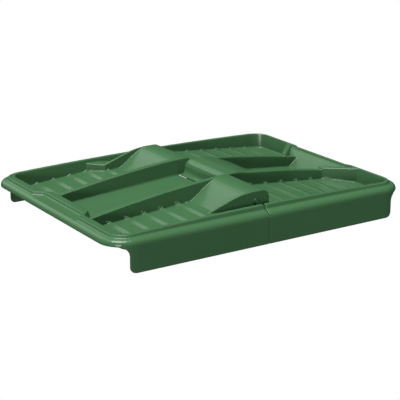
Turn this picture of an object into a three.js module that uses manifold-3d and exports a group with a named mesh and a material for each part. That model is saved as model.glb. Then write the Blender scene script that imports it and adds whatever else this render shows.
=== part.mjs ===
// A folding paint roller tray: two moulded halves that lie end to end in use and
// close face to face, like a case, about two hinge pins at the middle seam.
// Millimetres, +Z up, +X along the tray, origin under the middle of the seam.

import * as THREE from 'three';
import { mergeVertices } from 'three/addons/utils/BufferGeometryUtils.js';
import Module from 'manifold-3d';

const wasm = await Module();
wasm.setup();

// ---- driving dimensions ---------------------------------------------------

const halfLength = 303;        // seam to the outer face of an end lip
const halfWidth = 225;         // middle to the outer face of a long skirt
const beadHeight = 66;         // top of the bead at the seam, where the halves meet
const lipReach = 33;           // an end lip reaches this far past the long skirts
const planCorner = 45;         // outer corner radius, seen from above
const wall = 2.5;              // thickness of the moulding
const seamGap = 0.8;           // daylight between the rim ends at the seam
const floorGap = 0.3;          // and between the floors there
const chamferWidth = 3;        // chamfer on each rim end, at the bead
const fitGap = 0.4;            // play between the interlocking halves

// Depths below the bead.
const brimDrop = 7.3;          // the brim, where it meets the bead
const skirtDrop = 20;          // top of a skirt's straight part
const lipDrop = 21;            // underside of an end lip
const leftSeamDepth = 14.7;    // the left half's floor at the seam
const leftEndDepth = 33;       // and at its end
const rightSeamDepth = 12.5;   // the right half's channel floors at the seam
const rightEndDepth = 32.3;    // and at their ends
const wellStartDepth = 23;     // the right trough at the foot of its ramp
const wellEndDepth = 37.1;     // and at the end wall
const basinMargin = 3.9;       // the basin walls run on this far below the floors
const wingDrop = 15.5;         // lower edge of the walls that overhang the seam
const saddleDrop = 20;         // lower edge of the saddle's overhanging walls
const shelfDrop = 7;           // the shelf behind a fin, at its low end
const dividerEndDepth = 16.5;  // a divider's top at the end wall

// Heights above the bead.
const dividerRise = 15;        // a divider's top at the seam
const crestRise = 15.4;        // the top of a hump
const saddleRise = 13.5;       // the top of the saddle
const hingeLift = 0.4;         // the hinge axis

const shoulderRadius = 11;     // rounding from the skirt into the brim
const brimWidth = 12.2;        // skirt face to the foot of the bead
const beadWidth = 7.5;         // flat top of the bead along the sides
const leftBeadEnd = 13.5;      // flat top of the bead across the left end
const rightBeadEnd = 3.5;      // and across the right end
const beadLean = 2;            // how far the bead's outer face leans in
const beadSag = 4.8;           // the bead is this much lower at the ends
const brimSag = 2.2;           // and the brim this much
const sideWallLean = 7.1;      // lean of a basin's long wall, top to bottom
const leftEndLean = 13;        // lean of the left end wall, top to bottom
const rightEndLean = 5;        // and of the right one
const leftGripDepth = 16;      // the bead steps in this far at the left hand grip
const rightGripDepth = 6;      // and this far at the right one
const gripInner = 70;          // half width of the grip at the stepped-in bead
const gripOuter = 86;          // half width of the grip at the full bead
const gripShift = 6;           // the left bead's inner edge steps in this much nearer the middle

const leftDividerY = 69.3;     // middle of the left half's dividers
const dividerWidth = 10.5;     // flat top of a divider
const dividerPlay = 2.1;       // between dividers of the two halves, side by side
const dividerDraft = 0.035;    // sideways lean of a divider for each mm down
const dividerBow = 7.5;        // how far a divider's top bows above straight
const dividerEndReach = 41;    // a divider's top ends this far short of the lip

const rightFloorBreak = 60;    // where the right channels start to slope
const leftFloorBreak = 17;     // and the left half's floors

const crestLength = 16;        // level top of a hump beyond the seam
const cliffReach = 31;         // the humps overhang the seam by this much
const humpFoot = 63;           // foot of the hump's ramp, left of the seam
const finWidth = 4.5;          // thickness of the fin along a hump
const pocketWidth = 45;        // outer face of a fin to the skirt
const finRadius = 180;         // arc of the fin's top
const finArc = 18.3;           // degrees of arc before its top runs straight
const finPeak = 4.5;           // where the arc is highest, right of the seam
const finReach = 94.5;         // fin's low end, left of the seam
const shelfRun = 40;           // the shelf's top line is drawn this far past the fin
const shelfKnee = 55;          // the shelf's slope eases here, left of the seam
const shelfEnd = 20;           // and sinks into the floor here

const saddleFace = 12;         // steep face of the saddle, from the seam
const saddleFoot = 142;        // foot of the saddle's ramp

const landingRun = 60;         // foot of the sloped landing, from the end lip
const landingBack = 27;        // its top, from the end lip
const landingDrop = 4.7;       // the landing's top, below the bead beside it
const flareBack = 17;          // the 45 degree walls meet the end wall here
const flareSpread = 112;       // and this far from the middle
const flareStartDrop = 8;      // their tops below the bead, at the dividers
const flareEndDrop = 5.6;      // and at the end wall

const ribPitch = 34.5;         // spacing of the roller ribs
const ribHeight = 3;
const ribWidth = 7.5;
const ribEndRoom = 26;         // no rib stands nearer to the end of a floor
const leftRibFirst = 86.4;     // steep face of the first rib, from the seam
const rightRibFirst = 68.4;
const grooveWidth = 3;         // groove in the floor along a divider's foot
const grooveDepth = 1.2;
const ribTipWidth = 3;         // the end of a rib that turns up the divider
const ribTipReach = 2;
const leftTipHeight = 4.8;
const rightTipHeight = 2.8;    // lower, to pass under the left half's dividers

const pinRadius = 1.6;
const pinClearance = 0.35;     // radial play of the pin in its holes
const earWall = 1.35;          // plastic round the socket in an ear
const earThickness = 3.4;
const earGap = 0.8;            // between the fin and the ear
const earFootLength = 16;      // the ear's foot, from the seam
const earSetBack = 1.7;        // the ear stands this far behind the rim's end
const socketDepth = 2.3;       // blind socket in the ear
const headRim = 2;             // the pin's head stands out this much, inside the hump
const headThickness = 2;

// ---- sizes that follow ------------------------------------------------------

const brimHeight = beadHeight - brimDrop;
const skirtStraight = beadHeight - skirtDrop;
const lipBottom = beadHeight - lipDrop;
const leftFloorSeam = beadHeight - leftSeamDepth;
const leftFloorEnd = beadHeight - leftEndDepth;
const rightFloorSeam = beadHeight - rightSeamDepth;
const rightFloorEnd = beadHeight - rightEndDepth;
const wellFloorStart = beadHeight - wellStartDepth;
const wellFloorEnd = beadHeight - wellEndDepth;
const basinDeep = wellFloorEnd - basinMargin;
const wingBottom = beadHeight - wingDrop;
const saddleBottom = beadHeight - saddleDrop;
const shelfHeight = beadHeight - shelfDrop;
const dividerEndHeight = beadHeight - dividerEndDepth;
const dividerSeamHeight = beadHeight + dividerRise;
const crestHeight = beadHeight + crestRise;
const saddleHeight = beadHeight + saddleRise;
const hingeHeight = beadHeight + hingeLift;

const skirtReach = halfLength - lipReach;
// The floors end inside the end walls.
const leftFloorReach = halfLength - brimWidth - beadLean - leftBeadEnd + 2;
const rightFloorReach = halfLength - brimWidth - beadLean - rightBeadEnd + 0.5;
const basinHalf = halfWidth - brimWidth - beadLean - 4;
const landingFoot = halfLength - landingRun;
const landingTop = halfLength - landingBack;
const flareTop = halfLength - flareBack;
const flareStart = flareTop - flareSpread;
const finOuter = halfWidth - pocketWidth;

const rightDividerY = leftDividerY - dividerWidth - dividerPlay;
const leftDividerInner = leftDividerY - dividerWidth / 2;
const rightDividerOuter = rightDividerY + dividerWidth / 2;
const earRadius = pinRadius + pinClearance + earWall;
const headRadius = pinRadius + headRim;
const earInner = finOuter + earGap;
const earOuter = earInner + earThickness;

const coreMargin = 1.1;        // room between a basin wall and what is cut away beside it
const beyond = 12;             // length by which a cutting shape overshoots

// ---- solids ----------------------------------------------------------------

function toSolid(geometry) {
  geometry.deleteAttribute('normal');
  geometry.deleteAttribute('uv');
  const merged = mergeVertices(geometry, 1e-4);
  return new wasm.Manifold(new wasm.Mesh({
    numProp: 3,
    vertProperties: new Float32Array(merged.attributes.position.array),
    triVerts: new Uint32Array(merged.index.array),
  }));
}

function toMesh(name, solid, material) {
  const { vertProperties, triVerts } = solid.getMesh();
  const geometry = new THREE.BufferGeometry();
  geometry.setAttribute('position', new THREE.BufferAttribute(vertProperties, 3));
  geometry.setIndex(new THREE.BufferAttribute(triVerts, 1));
  geometry.computeVertexNormals();
  const mesh = new THREE.Mesh(geometry, material);
  mesh.name = name;
  return mesh;
}

const union = (...solids) => solids.reduce((sum, next) => sum.add(next));

const toShape = (points) => new THREE.Shape(points.map(([a, b]) => new THREE.Vector2(a, b)));

// A plan outline, lifted from one height to another.
function fromPlan(outline, low, high) {
  const options = { depth: high - low, bevelEnabled: false };
  return toSolid(new THREE.ExtrudeGeometry(toShape(outline), options).translate(0, 0, low));
}

// An outline of x and z, carried across the tray from one y to another.
function alongY(outline, from, to) {
  const [low, high] = [Math.min(from, to), Math.max(from, to)];
  const options = { depth: high - low, bevelEnabled: false };
  const geometry = new THREE.ExtrudeGeometry(toShape(outline), options);
  return toSolid(geometry.rotateX(Math.PI / 2).translate(0, high, 0));
}

// An outline of y and z, carried along the tray from one x to another.
function alongX(outline, low, high) {
  const options = { depth: high - low, bevelEnabled: false };
  const turned = new THREE.Matrix4().makeBasis(
    new THREE.Vector3(0, 1, 0), new THREE.Vector3(0, 0, 1), new THREE.Vector3(1, 0, 0));
  const geometry = new THREE.ExtrudeGeometry(toShape(outline), options);
  return toSolid(geometry.applyMatrix4(turned).translate(low, 0, 0));
}

const rectangle = (x0, x1, y0, y1) => [[x0, y0], [x1, y0], [x1, y1], [x0, y1]];

const block = (x0, x1, y0, y1, z0, z1) => fromPlan(rectangle(x0, x1, y0, y1), z0, z1);

// Points on an arc about (a, b), from one angle in degrees to another.
function arc(a, b, radius, start, end, steps) {
  const points = [];
  for (let i = 0; i <= steps; i += 1) {
    const angle = THREE.MathUtils.degToRad(start + (end - start) * i / steps);
    points.push([a + radius * Math.cos(angle), b + radius * Math.sin(angle)]);
  }
  return points;
}

const curvePoints = (curve, steps) => curve.getPoints(steps).map((p) => [p.x, p.y]);

// The line moved sideways into its material, which lies on its right hand.
function inset(line, distance) {
  const normals = line.slice(1).map(([a, b], i) => {
    const along = new THREE.Vector2(a - line[i][0], b - line[i][1]).normalize();
    return new THREE.Vector2(along.y, -along.x);
  });
  return line.map(([a, b], i) => {
    const before = normals[Math.max(i - 1, 0)];
    const after = normals[Math.min(i, normals.length - 1)];
    const middle = before.clone().add(after).normalize();
    const reach = distance / middle.dot(before);
    return [a + middle.x * reach, b + middle.y * reach];
  });
}

// The outline under a top line, down to a depth below the ground.
function under(line, depth) {
  const first = line[0];
  const last = line[line.length - 1];
  return [[first[0], -depth], ...line, [last[0], -depth]];
}

// ---- the rim and basin walls of the whole tray -------------------------------

// The rim in section: distance in from the outer face, height, and how much
// lower it lies at the ends. It runs up the skirt, over the bead and down.
function rimSection(lineWidth, wallLean) {
  const shoulder = arc(shoulderRadius, skirtStraight, shoulderRadius, 180, 112, 4);
  const sags = [0, 0, 0, 0.1, 0.3];
  const inner = brimWidth + beadLean + lineWidth;
  return {
    line: [[0, 0], ...shoulder, [brimWidth, brimHeight], [brimWidth + beadLean, beadHeight],
      [inner, beadHeight], [inner + wallLean, basinDeep]],
    sag: [0, ...sags.map((share) => share * brimSag), brimSag, beadSag, beadSag, 0],
    grip: [0, ...sags.map(() => 0), 1, 1, 1, 1],
  };
}

// The places round the tray where a rim section stands: its corner centre, its
// outward direction, and whether it lies in the stepped-in hand grip.
function rimStations() {
  const cornerX = halfLength - planCorner;
  const cornerY = halfWidth - planCorner;
  const stations = [];
  const quadrants = [[1, 1, 0], [-1, 1, 90], [-1, -1, 180], [1, -1, 270]];
  for (const [signX, signY, start] of quadrants) {
    for (const [dx, dy] of arc(0, 0, 1, start, start + 90, 8)) {
      stations.push({ x: signX * cornerX, y: signY * cornerY, dx, dy, grip: 0 });
    }
    if (signX * signY > 0) {
      for (let step = 1; step < 14; step += 1) {
        const x = signX * cornerX * (1 - step / 7);
        stations.push({ x, y: signY * cornerY, dx: 0, dy: signY, grip: 0 });
      }
    } else {
      for (const [y, grip] of [[gripOuter, 0], [gripInner, 1], [-gripInner, 1], [-gripOuter, 0]]) {
        stations.push({ x: signX * cornerX, y: signY * y, dx: signX, dy: 0, grip,
          shift: signX < 0 ? -Math.sign(signY * y) * gripShift : 0 });
      }
    }
  }
  return stations;
}

// A closed solid through rings of equal length, capped at both ends.
function loft(rings) {
  const count = rings[0].length;
  const cap = (ring) => THREE.ShapeUtils.triangulateShape(
    ring.map((p) => new THREE.Vector2(p.x, p.y)), []);
  const index = [];
  for (const [a, b, c] of cap(rings[0])) index.push(a, c, b);
  for (let level = 1; level < rings.length; level += 1) {
    const low = (level - 1) * count;
    for (let i = 0; i < count; i += 1) {
      const next = (i + 1) % count;
      index.push(low + i, low + next, low + count + i);
      index.push(low + next, low + count + next, low + count + i);
    }
  }
  const top = (rings.length - 1) * count;
  for (const [a, b, c] of cap(rings[rings.length - 1])) index.push(top + a, top + b, top + c);
  const geometry = new THREE.BufferGeometry();
  geometry.setFromPoints(rings.flat());
  geometry.setIndex(index);
  return toSolid(geometry);
}

// The rim with its basin left empty, every face moved into the plastic by depth.
function dish(depth) {
  const side = rimSection(beadWidth, sideWallLean);
  const sideLine = inset(side.line, depth);
  const leftLine = inset(rimSection(leftBeadEnd, leftEndLean).line, depth);
  const rightLine = inset(rimSection(rightBeadEnd, rightEndLean).line, depth);
  for (const line of [sideLine, leftLine, rightLine]) line[0][1] = -depth;
  const stations = rimStations();
  const firstInner = sideLine.length - 2;
  const rings = sideLine.map(([sideIn, sideZ], level) => stations.map((station) => {
    const [endIn, endZ] = (station.x < 0 ? leftLine : rightLine)[level];
    const stepIn = side.grip[level] * station.grip
      * (station.dx < 0 ? -leftGripDepth : rightGripDepth);
    const x = station.x + station.dx * (planCorner - endIn) - stepIn;
    const shift = level < firstInner ? 0 : station.shift ?? 0;
    const y = station.y + station.dy * (planCorner - sideIn) + shift;
    const share = Math.min(1, (x / skirtReach) ** 2);
    const z = THREE.MathUtils.lerp(endZ, sideZ, station.dy ** 2) - side.sag[level] * share;
    return new THREE.Vector3(x, y, z);
  }));
  return loft(rings);
}

// ---- what stands inside the basins ---------------------------------------------

const leftFloorLine = [[-leftFloorReach, leftFloorEnd], [-leftFloorBreak, leftFloorSeam],
  [beyond, leftFloorSeam]];
const rightFloorLine = [[-beyond, rightFloorSeam], [rightFloorBreak, rightFloorSeam],
  [rightFloorReach, rightFloorEnd]];
const wellSlope = (wellFloorStart - wellFloorEnd) / (rightFloorReach - saddleFoot);
const wellLine = [[saddleFoot - 30, wellFloorStart + 30 * wellSlope],
  [rightFloorReach, wellFloorEnd]];

const heightOn = (line, x) => {
  const i = line.findIndex((point, k) => k > 0 && point[0] >= x);
  const [[x0, z0], [x1, z1]] = [line[i - 1], line[i]];
  return z0 + (z1 - z0) * (x - x0) / (x1 - x0);
};

const floorFill = (line, depth, y0, y1) => alongY(under(inset(line, depth), depth), y0, y1);

// The top of a divider, from its end wall to the seam or the other way round.
function dividerTop(side) {
  const span = halfLength - dividerEndReach;
  const middle = (dividerSeamHeight + dividerEndHeight) / 2 + dividerBow;
  const curve = new THREE.QuadraticBezierCurve(
    new THREE.Vector2(0, dividerSeamHeight),
    new THREE.Vector2(side * span / 2, middle),
    new THREE.Vector2(side * span, dividerEndHeight));
  const points = curvePoints(curve, 10);
  return side < 0 ? points.reverse() : points;
}

// A wall along the tray: the given top line, the given middle, drafted sides.
function ridge(line, middleY, width, depth) {
  const foot = width / 2 - depth + dividerDraft * (dividerSeamHeight + depth);
  const crest = width / 2 - depth;
  const section = [[middleY - foot, -depth], [middleY + foot, -depth],
    [middleY + crest, dividerSeamHeight], [middleY + crest, crestHeight + beyond],
    [middleY - crest, crestHeight + beyond], [middleY - crest, dividerSeamHeight]];
  const shape = under(inset(line, depth), depth);
  const reach = halfLength;
  return alongX(section, -reach, reach).intersect(
    alongY(shape, middleY - foot - 1, middleY + foot + 1));
}

const leftDividerLine = () => [...dividerTop(-1), [cliffReach - crestLength, dividerSeamHeight],
  ...cliffRounding().slice(1), [cliffReach, 0]];

// The rounding from the hump's level top down into its cliff.
function cliffRounding() {
  const radius = cliffReach - crestLength;
  return arc(crestLength, crestHeight - radius, radius, 90, 0, 6);
}

function humpLine() {
  const foot = heightOn(leftFloorLine, -humpFoot);
  const ramp = new THREE.CubicBezierCurve(
    new THREE.Vector2(-humpFoot, foot + 0.4),
    new THREE.Vector2(-humpFoot + 16, foot + 6),
    new THREE.Vector2(-humpFoot / 2 + 1.5, crestHeight - 2.4),
    new THREE.Vector2(2, crestHeight));
  return [...curvePoints(ramp, 12), ...cliffRounding(), [cliffReach, 0]];
}

function finLine() {
  const top = arc(finPeak, crestHeight - finRadius, finRadius, 90 + finArc, 90, 8);
  const slope = Math.tan(THREE.MathUtils.degToRad(finArc));
  const low = [-finReach, top[0][1] - (top[0][0] + finReach) * slope];
  return [low, ...top, ...cliffRounding(), [cliffReach, 0]];
}

// The shelf between the fin and the long wall, closed by a 45 degree end. It
// falls to just under the floor before the seam.
function shelf(depth, side) {
  const outer = basinHalf;
  const low = finOuter - finWidth;
  const end = finReach - depth;
  const sunk = leftFloorSeam - 0.1;
  const plan = [[0, low], [-end, low], [-end - (outer - low), outer], [0, outer]];
  const top = [[-finReach - shelfRun, shelfHeight], [-finReach, shelfHeight - 1],
    [-shelfKnee, sunk + 1.8], [-shelfEnd, sunk], [beyond, sunk]];
  const outline = plan.map(([x, y]) => [x, side * y]);
  if (side < 0) outline.reverse();
  return fromPlan(outline, -depth, crestHeight)
    .intersect(alongY(under(inset(top, depth), depth), side * low, side * outer));
}

function hump(depth, side) {
  return alongY(under(inset(humpLine(), depth), depth),
    side * (leftDividerInner + depth), side * (finOuter - depth));
}

// The solid fin beside a hump, standing on the floor.
function fin(side) {
  const footing = leftFloorLine.map(([x, z]) => [x, z - wall / 2]);
  const foot = [[cliffReach, wingBottom], [0, heightOn(footing, 0)],
    [-finReach, heightOn(footing, -finReach)]];
  const outline = [...finLine().slice(0, -1), ...foot];
  return alongY(outline, side * (finOuter - finWidth), side * finOuter);
}

// The saddle's steep face, shared by the ends of the right half's dividers.
const steepFace = () => [[floorGap / 2, rightFloorSeam - 4], [saddleFace - 4, rightFloorSeam - 1],
  [saddleFace - 1, rightFloorSeam + 4.5], [saddleFace + 0.2, rightFloorSeam + 14]];

// The rounding from the steep face into the saddle's top.
const saddleShoulder = () => [[saddleFace + 2.4, saddleHeight - 6.6],
  [saddleFace + 7, saddleHeight - 3], [saddleFace + 13, saddleHeight - 0.9]];

function saddle(depth) {
  const span = saddleFoot - saddleFace;
  const ramp = new THREE.CubicBezierCurve(
    new THREE.Vector2(saddleFace + span / 4, saddleHeight),
    new THREE.Vector2(saddleFace + span / 2, saddleHeight - 2),
    new THREE.Vector2(saddleFoot - span / 4, wellFloorStart + 18),
    new THREE.Vector2(saddleFoot, wellFloorStart - 0.5));
  const line = [[floorGap / 2, 0], ...steepFace(), ...saddleShoulder(), ...curvePoints(ramp, 10)];
  return alongY(under(inset(line, depth), depth),
    -rightDividerOuter + depth, rightDividerOuter - depth);
}

function rightDividerLine() {
  return [[floorGap / 2, 0], ...steepFace(), ...saddleShoulder(),
    ...dividerTop(1).filter(([x]) => x > saddleFace + 18)];
}

// The end walls at 45 degrees and the landing that slopes up between them.
function landing(depth) {
  const start = rightDividerOuter + flareStart + depth * Math.SQRT2;
  const end = flareTop;
  const reach = end - flareStart - depth * Math.SQRT2;
  const plan = [[start, -rightDividerOuter], [end, -reach], [end, reach],
    [start, rightDividerOuter]];
  const crest = beadHeight - beadSag - landingDrop;
  const foot = landingFoot - 1;
  const slope = [[foot, heightOn(wellLine, foot) - 3], [landingTop - 3, crest - 1.5],
    [landingTop, crest], [end + depth, crest]];
  const ramp = alongY(under(inset(slope, depth), depth), -reach, reach)
    .intersect(fromPlan(plan, -depth, crestHeight));
  const top = [[start - 1, beadHeight - flareStartDrop], [end + depth, beadHeight - flareEndDrop]];
  const thick = dividerWidth * Math.SQRT2;
  const walls = [-1, 1].map((side) => {
    const flare = [[start, rightDividerOuter], [end, reach],
      [end, reach - thick + depth * 2 * Math.SQRT2],
      [start + (thick - dividerWidth) / 2, rightDividerOuter - dividerWidth + depth * 2]];
    const outline = flare.map(([x, y]) => [x, side * y]);
    if (side > 0) outline.reverse();
    return fromPlan(outline, -depth, crestHeight)
      .intersect(alongY(under(inset(top, depth), depth), -halfWidth, halfWidth));
  });
  return union(ramp, ...walls);
}

// How far a divider's side stands from its middle, at a height.
const dividerHalf = (z) => dividerWidth / 2 + dividerDraft * (dividerSeamHeight - z);

// The places of the ribs on a floor, and what stands at each.
function ribPlaces(line, first, side) {
  const places = [];
  const last = Math.max(...line.map(([x]) => side * x)) - ribEndRoom - ribWidth;
  for (let at = first; at < last; at += ribPitch) {
    const [steep, toe] = [side * at, side * (at + ribWidth)];
    places.push({ steep, toe, floor: heightOn(line, steep), toeFloor: heightOn(line, toe) });
  }
  return places;
}

// Ribs across both channels, each with a steep face and a slope, and a tip that
// turns up the divider beside it.
function ribs(line, first, side, dividerY, tipHeight) {
  const solids = [];
  for (const { steep, toe, floor, toeFloor } of ribPlaces(line, first, side)) {
    const outline = [[steep, floor - 1.5], [steep, floor + ribHeight], [toe, toeFloor],
      [toe, toeFloor - 1.5]];
    const tipEnd = toe - side * ribTipWidth;
    const [tipLow, tipHigh] = [Math.min(toe, tipEnd), Math.max(toe, tipEnd)];
    const foot = dividerY + dividerHalf(floor);
    for (const edge of [-1, 1]) {
      const [a, b] = [edge * (foot - 1.5), edge * (foot + ribTipReach)];
      solids.push(alongY(outline, edge * (foot - 1), edge * (basinHalf - 3)));
      solids.push(block(tipLow, tipHigh, Math.min(a, b), Math.max(a, b),
        toeFloor - 1.5, toeFloor + tipHeight));
    }
  }
  return union(...solids);
}

// Shallow grooves in the channel floors, along the feet of the dividers.
function grooves(line, from, to, dividerY) {
  const path = [[from, heightOn(line, from)], [to, heightOn(line, to)]];
  const low = inset(path, grooveDepth);
  const high = inset(path, -grooveDepth).reverse();
  const foot = dividerY + dividerHalf(heightOn(line, (from + to) / 2));
  return union(...[-1, 1].map((edge) => alongY([...low, ...high],
    edge * foot, edge * (foot + grooveWidth))));
}

// ---- cuts ------------------------------------------------------------------------

// The plan of a basin with its walls, which the space under a lip leaves alone.
function basinCore(side) {
  const rim = brimWidth + beadLean - wall - coreMargin;
  const reach = halfLength - rim - (side < 0 ? leftBeadEnd : rightBeadEnd);
  const half = halfWidth - rim - beadWidth;
  const radius = planCorner - rim - beadWidth;
  const outline = [[0, -half], ...arc(reach - radius, radius - half, radius, -90, 0, 8),
    ...arc(reach - radius, half - radius, radius, 0, 90, 8), [0, half]];
  const turned = outline.map(([x, y]) => [side * x, y]);
  return fromPlan(side < 0 ? turned.reverse() : turned, -2 * beyond, crestHeight);
}

// The open space under an end lip, past the rounded end of the skirts.
function endCut(side) {
  const foot = 10;
  const throat = 16;
  const low = -beyond;
  const outline = [[skirtReach - foot, low], ...arc(skirtReach - foot, foot, foot, -90, 0, 5),
    ...arc(skirtReach + throat, lipBottom - throat, throat, 180, 90, 5),
    [halfLength + beyond, lipBottom], [halfLength + beyond, low]];
  return alongY(outline.map(([x, z]) => [side * x, z]), -halfWidth - beyond, halfWidth + beyond)
    .subtract(basinCore(side));
}

// Everything on one side of the seam. The plastic closes the rim's end with a
// wall, and leaves the floors open.
function sideOfSeam(side, depth) {
  const near = seamGap / 2;
  const far = halfLength + beyond;
  const floorNear = depth > 0 ? -1 : floorGap / 2;
  const part = (from, y0, y1) => block(Math.min(side * from, side * far),
    Math.max(side * from, side * far), y0, y1, -beyond, crestHeight + beyond);
  const inner = basinHalf - 8;
  const rim = halfWidth + beyond;
  return union(part(near + depth, -rim, rim), part(floorNear, -inner, inner));
}

// The chamfer on both rim ends at the seam.
function seamChamfer() {
  const outline = [[-chamferWidth, beadHeight + 1], [0, skirtStraight + 2],
    [chamferWidth, beadHeight + 1]];
  return union(...[-1, 1].map((side) => alongY(outline, side * (basinHalf - 8), side * halfWidth)));
}

// ---- the pieces --------------------------------------------------------------------

function leftFilled(depth) {
  const rim = union(dish(depth), floorFill(leftFloorLine, depth, -basinHalf, basinHalf),
    shelf(depth, 1), shelf(depth, -1)).intersect(sideOfSeam(-1, depth));
  const inside = [-1, 1].map((side) => union(
    ridge(leftDividerLine(), side * leftDividerY, dividerWidth, depth), hump(depth, side)));
  return union(rim, ...inside);
}

function leftHalf() {
  const shell = union(leftFilled(0).subtract(leftFilled(wall)), fin(1), fin(-1))
    .subtract(grooves(leftFloorLine, -leftFloorReach + ribEndRoom, -humpFoot - 10, leftDividerY));
  const ribbing = ribs(leftFloorLine, leftRibFirst, -1, leftDividerY, leftTipHeight);
  const wingY = [leftDividerInner - 4, finOuter + 1];
  const underWings = union(...[-1, 1].map((side) => block(-floorGap / 2, cliffReach + 1,
    Math.min(side * wingY[0], side * wingY[1]), Math.max(side * wingY[0], side * wingY[1]),
    -beyond, wingBottom)));
  const flush = union(...[-1, 1].map((side) => block(-floorGap / 2, cliffReach + 1,
    side > 0 ? 0 : -leftDividerInner, side > 0 ? leftDividerInner : 0, -beyond, crestHeight * 2)));
  return union(shell, ribbing).subtract(endCut(-1)).subtract(underWings).subtract(flush)
    .subtract(seamChamfer()).subtract(pinBores(finOuter - finWidth - beyond, finOuter + 1));
}

function rightFilled(depth) {
  const channel = floorFill(rightFloorLine, depth, -basinHalf, basinHalf);
  const wellHalf = rightDividerY;
  const well = block(saddleFoot - 40, rightFloorReach + beyond, -wellHalf, wellHalf,
    -beyond, crestHeight);
  const trough = floorFill(wellLine, depth, -wellHalf, wellHalf);
  const rim = union(dish(depth), channel.subtract(well).add(trough), landing(depth))
    .intersect(sideOfSeam(1, depth));
  const dividers = [-1, 1].map((side) => ridge(rightDividerLine(), side * rightDividerY,
    dividerWidth, depth));
  return union(rim, saddle(depth), ...dividers);
}

function rightHalf() {
  const shell = rightFilled(0).subtract(rightFilled(wall)).subtract(
    grooves(rightFloorLine, rightFloorBreak, flareStart + rightDividerOuter, rightDividerY));
  const ribbing = ribs(rightFloorLine, rightRibFirst, 1, rightDividerY, rightTipHeight);
  const underSaddle = block(-1, cliffReach + fitGap, -rightDividerOuter - 3,
    rightDividerOuter + 3, -beyond, saddleBottom);
  const wings = union(...[-1, 1].map((side) => {
    const [a, b] = [side * (leftDividerInner - fitGap), side * (finOuter + fitGap)];
    return block(-beyond, cliffReach + fitGap, Math.min(a, b), Math.max(a, b),
      -beyond, crestHeight * 2);
  }));
  return union(shell, ribbing).subtract(endCut(1)).subtract(wings).subtract(underSaddle)
    .subtract(seamChamfer()).add(ears()).subtract(pinBores(finOuter, earInner + socketDepth));
}

// The lugs that carry the right half on its hinge pins.
function ears() {
  const near = seamGap / 2 + earSetBack;
  const outline = [[near, rightFloorSeam - 1], [earFootLength, rightFloorSeam - 1],
    ...arc(0, hingeHeight, earRadius, 20, 215, 12), [near, hingeHeight - 2 * earRadius]];
  return union(...[-1, 1].map((side) => alongY(outline, side * earInner, side * earOuter)));
}

function roundBar(radius, from, to) {
  const bar = new THREE.CylinderGeometry(radius, radius, Math.abs(to - from), 24);
  return toSolid(bar.translate(0, (from + to) / 2, hingeHeight));
}

function pinBores(from, to) {
  return union(...[-1, 1].map((side) => roundBar(pinRadius + pinClearance, side * from, side * to)));
}

// A headed pin, pushed from inside the hump through the fin into the ear's socket.
function hingePin(side) {
  const headFrom = finOuter - finWidth - fitGap;
  return union(
    roundBar(pinRadius, side * (headFrom - 0.1), side * (earInner + socketDepth - fitGap)),
    roundBar(headRadius, side * (headFrom - headThickness), side * headFrom));
}

// ---- the assembly --------------------------------------------------------------------

const green = new THREE.MeshStandardMaterial({ color: '#3d7548', roughness: 0.42, metalness: 0 });
const nylon = new THREE.MeshStandardMaterial({ color: '#2b5233', roughness: 0.5, metalness: 0 });

const tray = new THREE.Group();
tray.add(toMesh('left_tray_half', leftHalf(), green));
tray.add(toMesh('right_tray_half', rightHalf(), green));
tray.add(toMesh('hinge_pin_front', hingePin(-1), nylon));
tray.add(toMesh('hinge_pin_back', hingePin(1), nylon));

export default tray;
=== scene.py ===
"""Looks of the folding paint roller tray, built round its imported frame.

The two moulded halves are remade as rounded polypropylene mouldings, the
hinge pins are given a nylon finish, and a plain studio holds them.
"""

import logging
import math
from dataclasses import dataclass
from enum import Enum
from typing import Any

import bmesh
import bpy
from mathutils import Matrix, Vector

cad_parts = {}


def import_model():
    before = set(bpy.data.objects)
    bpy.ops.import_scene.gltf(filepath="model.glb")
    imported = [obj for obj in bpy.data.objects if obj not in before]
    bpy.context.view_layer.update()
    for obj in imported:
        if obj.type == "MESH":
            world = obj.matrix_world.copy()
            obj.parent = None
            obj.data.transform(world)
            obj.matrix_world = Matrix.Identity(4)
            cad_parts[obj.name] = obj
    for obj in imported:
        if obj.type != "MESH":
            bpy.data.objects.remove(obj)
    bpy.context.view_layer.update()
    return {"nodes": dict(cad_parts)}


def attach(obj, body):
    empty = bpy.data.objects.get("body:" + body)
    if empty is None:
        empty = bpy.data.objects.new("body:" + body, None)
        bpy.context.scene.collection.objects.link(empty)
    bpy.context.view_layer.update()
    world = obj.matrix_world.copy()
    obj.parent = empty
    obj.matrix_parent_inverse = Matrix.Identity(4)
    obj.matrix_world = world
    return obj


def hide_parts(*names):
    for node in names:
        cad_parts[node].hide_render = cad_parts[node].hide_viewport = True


LOG = logging.getLogger("paint_tray")
MM = 0.001
WHITE = "#ffffff"
# Sockets of the colour mix node, whose names its other sockets share.
MIX_FIRST, MIX_SECOND, MIX_RESULT = 6, 7, 2


class Half(Enum):
    """The two mouldings of the tray, each by its CAD node and body."""

    LEFT = ("left_tray_half", "left_half")
    RIGHT = ("right_tray_half", "right_half")

    @property
    def node(self) -> str:
        """The CAD node of this half."""
        return self.value[0]

    @property
    def body(self) -> str:
        """The body this half rides on."""
        return self.value[1]


def linear(hex_colour: str) -> tuple[float, float, float, float]:
    """Turn an sRGB hex colour into the linear values that shaders take.

    Args:
        hex_colour: Six hex digits, with or without a leading hash.

    Returns:
        Linear red, green and blue, with an alpha of 1.
    """
    digits = hex_colour.lstrip("#")
    channels = [int(digits[i : i + 2], 16) / 255 for i in (0, 2, 4)]
    curve = [c / 12.92 if c <= 0.04045 else ((c + 0.055) / 1.055) ** 2.4 for c in channels]
    return (curve[0], curve[1], curve[2], 1.0)


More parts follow.
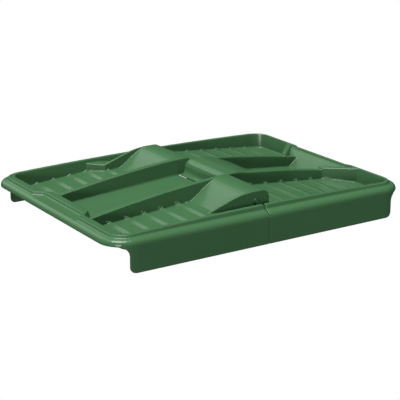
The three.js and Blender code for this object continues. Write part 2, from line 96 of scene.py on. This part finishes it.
def add_node(
    tree: bpy.types.NodeTree, kind: str, settings: dict[str, Any] | None = None, **inputs: Any
) -> bpy.types.Node:
    """Add one shader node, set it up and feed its inputs.

    Args:
        tree: The node tree that gets the node.
        kind: The node's type name.
        settings: Properties of the node itself.
        **inputs: Socket values or the sockets that feed them, by input name
            with underscores for spaces.

    Returns:
        The new node.
    """
    node = tree.nodes.new(kind)
    for name, value in (settings or {}).items():
        setattr(node, name, value)
    for name, value in inputs.items():
        socket = node.inputs[name.replace("_", " ")]
        if isinstance(value, bpy.types.NodeSocket):
            tree.links.new(value, socket)
        else:
            socket.default_value = value
    return node


@dataclass(frozen=True)
class MouldedPlastic:
    """Injection-moulded plastic with a fine satin grain.

    Polypropylene from a sparked tool: the grain breaks reflections into a soft
    sheen, and the colour drifts very little.
    """

    name: str
    colour: str = "#305133"
    drift: str = "#335537"
    roughness: float = 0.30
    ior: float = 1.49
    specular_level: float = 0.32
    grain_mm: float = 0.9
    grain_height_mm: float = 0.02
    grain_detail: float = 2.0
    drift_mm: float = 90.0
    drift_detail: float = 3.0

    def build(self) -> bpy.types.Material:
        """Make the material.

        Returns:
            A node material named for this finish.
        """
        material = bpy.data.materials.new(self.name)
        material.use_nodes = True
        tree = material.node_tree
        tree.nodes.clear()
        place = add_node(tree, "ShaderNodeTexCoord").outputs["Object"]
        clouds = add_node(
            tree,
            "ShaderNodeTexNoise",
            Vector=place,
            Scale=1 / (self.drift_mm * MM),
            Detail=self.drift_detail,
        )
        body = add_node(
            tree, "ShaderNodeMix", {"data_type": "RGBA"}, Factor=clouds.outputs["Fac"]
        )
        body.inputs[MIX_FIRST].default_value = linear(self.colour)
        body.inputs[MIX_SECOND].default_value = linear(self.drift)
        grain = add_node(
            tree,
            "ShaderNodeTexNoise",
            Vector=place,
            Scale=1 / (self.grain_mm * MM),
            Detail=self.grain_detail,
        )
        bump = add_node(
            tree,
            "ShaderNodeBump",
            Strength=1.0,
            Distance=self.grain_height_mm * MM,
            Height=grain.outputs["Fac"],
        )
        shader = add_node(
            tree,
            "ShaderNodeBsdfPrincipled",
            Roughness=self.roughness,
            IOR=self.ior,
            Specular_IOR_Level=self.specular_level,
            Base_Color=body.outputs[MIX_RESULT],
            Normal=bump.outputs["Normal"],
        )
        add_node(tree, "ShaderNodeOutputMaterial", Surface=shader.outputs["BSDF"])
        return material


@dataclass
class Moulding:
    """One half of the tray as a rounded moulding."""

    half: Half
    merge_mm: float = 0.005
    voxel_mm: float = 0.8
    softness: float = 0.5
    rounding_steps: int = 3
    triangle_limit: int = 190_000

    def build(self, material: bpy.types.Material) -> bpy.types.Object:
        """Make the moulding and put it on its body.

        Args:
            material: The finish it wears.

        Returns:
            The finished object, at the origin, with its place in its mesh.
        """
        piece = bpy.data.objects.new(f"{self.half.node}_moulding", self._merged_copy())
        bpy.context.collection.objects.link(piece)
        self._round(piece)
        self._thin(piece)
        piece.data.shade_smooth()
        piece.data.materials.clear()
        piece.data.materials.append(material)
        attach(piece, self.half.body)
        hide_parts(self.half.node)
        return piece

    def _merged_copy(self) -> bpy.types.Mesh:
        """Copy the CAD mesh with its loose triangles merged.

        Returns:
            The new mesh.
        """
        node = bpy.data.objects[self.half.node]
        mesh = node.data.copy()
        shape = bmesh.new()
        shape.from_mesh(mesh)
        bmesh.ops.remove_doubles(shape, verts=shape.verts, dist=self.merge_mm * MM)
        shape.to_mesh(mesh)
        shape.free()
        mesh.name = f"{self.half.node}_moulding"
        return mesh

    def _apply(self, piece: bpy.types.Object) -> None:
        """Bake the piece's modifiers into its mesh.

        Args:
            piece: The moulding being made.
        """
        graph = bpy.context.evaluated_depsgraph_get()
        baked = bpy.data.meshes.new_from_object(piece.evaluated_get(graph))
        piece.modifiers.clear()
        piece.data = baked

    def _round(self, piece: bpy.types.Object) -> None:
        """Rebuild the skin on a fine grid and soften every edge.

        Args:
            piece: The moulding being made.
        """
        grid = piece.modifiers.new("grid", "REMESH")
        grid.mode = "VOXEL"
        grid.voxel_size = self.voxel_mm * MM
        soften = piece.modifiers.new("soften", "SMOOTH")
        soften.factor = self.softness
        soften.iterations = self.rounding_steps
        self._apply(piece)
        LOG.info("%s: %d faces on the grid", piece.name, len(piece.data.polygons))

    def _thin(self, piece: bpy.types.Object) -> None:
        """Spend the triangles where the surface bends.

        Args:
            piece: The moulding being made.
        """
        triangles = sum(len(face.vertices) - 2 for face in piece.data.polygons)
        thin = piece.modifiers.new("thin", "DECIMATE")
        thin.ratio = min(1.0, self.triangle_limit / triangles)
        self._apply(piece)
        LOG.info("%s: %d faces kept", piece.name, len(piece.data.polygons))


@dataclass(frozen=True)
class SoftSun:
    """A broad, far light: where it comes from, its strength and its width."""

    name: str
    comes_from: tuple[float, float, float]
    strength: float
    width_degrees: float
    distance: float = 3.0

    def hang(self) -> None:
        """Hang the light so that it faces the tray."""
        lamp = bpy.data.lights.new(self.name, "SUN")
        lamp.energy = self.strength
        lamp.angle = math.radians(self.width_degrees)
        light = bpy.data.objects.new(self.name, lamp)
        light.location = Vector(self.comes_from).normalized() * self.distance
        light.rotation_euler = (-light.location).to_track_quat("-Z", "Y").to_euler()
        bpy.context.collection.objects.link(light)


@dataclass
class Studio:
    """A white floor, a dark sheet of painted shadow under the tray, soft lights and the
    camera.
    """

    floor_size: float = 40.0
    floor_colour: str = WHITE
    floor_glow: float = 1.0
    ambient: float = 0.42
    shade_size: tuple[float, float] = (0.40, 0.36)
    shade_height_mm: float = 1.0
    # The near-black colour of the painted shadow sheet under the tray.
    shade_colour: str = "#101a12"
    lens_mm: float = 117.0
    camera_place: tuple[float, float, float] = (-1.2288, -1.9058, 0.7307)
    aim: tuple[float, float, float] = (0.0069, 0.0019, 0.0170)
    suns: tuple[SoftSun, ...] = (
        SoftSun("overhead", (-0.20, 0.02, 0.98), 6.7, 40.0),
        SoftSun("low_left", (-0.76, -0.62, 0.12), 1.8, 9.0),
        SoftSun("high_back", (-0.10, 0.80, 0.50), 0.5, 40.0),
    )

    def build(self) -> None:
        """Make the floor, the lights, the surroundings and the camera."""
        self._floor()
        # A dark sheet under the tray is painted shadow, standing in for the shadow the glowing
        # floor takes none of.
        self._shade()
        self._surroundings()
        for sun in self.suns:
            sun.hang()
        self._camera()
        bpy.context.scene.view_settings.view_transform = "Standard"

    def _sheet(
        self, name: str, size: tuple[float, float], height: float, material: bpy.types.Material
    ) -> bpy.types.Object:
        """Lay a flat sheet that belongs to the studio.

        Args:
            name: The sheet's name.
            size: Its size along X and Y, in metres.
            height: How far above the ground it lies, in metres.
            material: What it wears.

        Returns:
            The new sheet.
        """
        shape = bmesh.new()
        bmesh.ops.create_grid(shape, x_segments=1, y_segments=1, size=0.5)
        bmesh.ops.scale(shape, vec=(*size, 1.0), verts=shape.verts)
        bmesh.ops.translate(shape, vec=(0.0, 0.0, height), verts=shape.verts)
        mesh = bpy.data.meshes.new(name)
        shape.to_mesh(mesh)
        shape.free()
        mesh.materials.append(material)
        sheet = bpy.data.objects.new(name, mesh)
        bpy.context.collection.objects.link(sheet)
        return sheet

    def _floor(self) -> None:
        """Lay a glowing white floor that takes no shadow and lights nothing."""
        material = bpy.data.materials.new("white_floor")
        material.use_nodes = True
        tree = material.node_tree
        tree.nodes.clear()
        glow = add_node(
            tree,
            "ShaderNodeEmission",
            Color=linear(self.floor_colour),
            Strength=self.floor_glow,
        )
        add_node(tree, "ShaderNodeOutputMaterial", Surface=glow.outputs["Emission"])
        floor = self._sheet("studio_floor", (self.floor_size, self.floor_size), 0.0, material)
        floor.visible_diffuse = False
        floor.visible_glossy = False

    def _shade(self) -> None:
        """Lay a dark sheet of painted shadow under the tray, so that its seams look down on
        shade.
        """
        material = bpy.data.materials.new("painted_shadow_card")
        material.use_nodes = True
        shader = material.node_tree.nodes["Principled BSDF"]
        # Painted shadow: a near-black, fully rough colour where only shade would be.
        shader.inputs["Base Color"].default_value = linear(self.shade_colour)
        shader.inputs["Roughness"].default_value = 1.0
        self._sheet("shade_card", self.shade_size, self.shade_height_mm * MM, material)

    def _surroundings(self) -> None:
        """Give the world an even light that shows in no reflection."""
        world = bpy.data.worlds.new("studio")
        world.use_nodes = True
        background = world.node_tree.nodes["Background"]
        background.inputs["Color"].default_value = linear(WHITE)
        background.inputs["Strength"].default_value = self.ambient
        world.cycles_visibility.glossy = False
        bpy.context.scene.world = world

    def _camera(self) -> None:
        """Set up the camera."""
        place = Vector(self.camera_place)
        optics = bpy.data.cameras.new("camera")
        optics.lens = self.lens_mm
        camera = bpy.data.objects.new("camera", optics)
        camera.location = place
        camera.rotation_euler = (Vector(self.aim) - place).to_track_quat("-Z", "Y").to_euler()
        bpy.context.collection.objects.link(camera)
        bpy.context.scene.camera = camera


def main() -> None:
    """Build the tray's looks and the studio."""
    logging.basicConfig(level=logging.INFO, format="%(message)s")
    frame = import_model()
    tray_material = MouldedPlastic("satin_green_polypropylene").build()
    for half in Half:
        Moulding(half).build(tray_material)
    pin_material = MouldedPlastic("green_nylon_pin", colour="#27432b", drift="#2b472f").build()
    for name, node in frame["nodes"].items():
        if name.startswith("hinge_pin"):
            node.data.materials.clear()
            node.data.materials.append(pin_material)
    Studio().build()


if __name__ == "__main__":
    main()
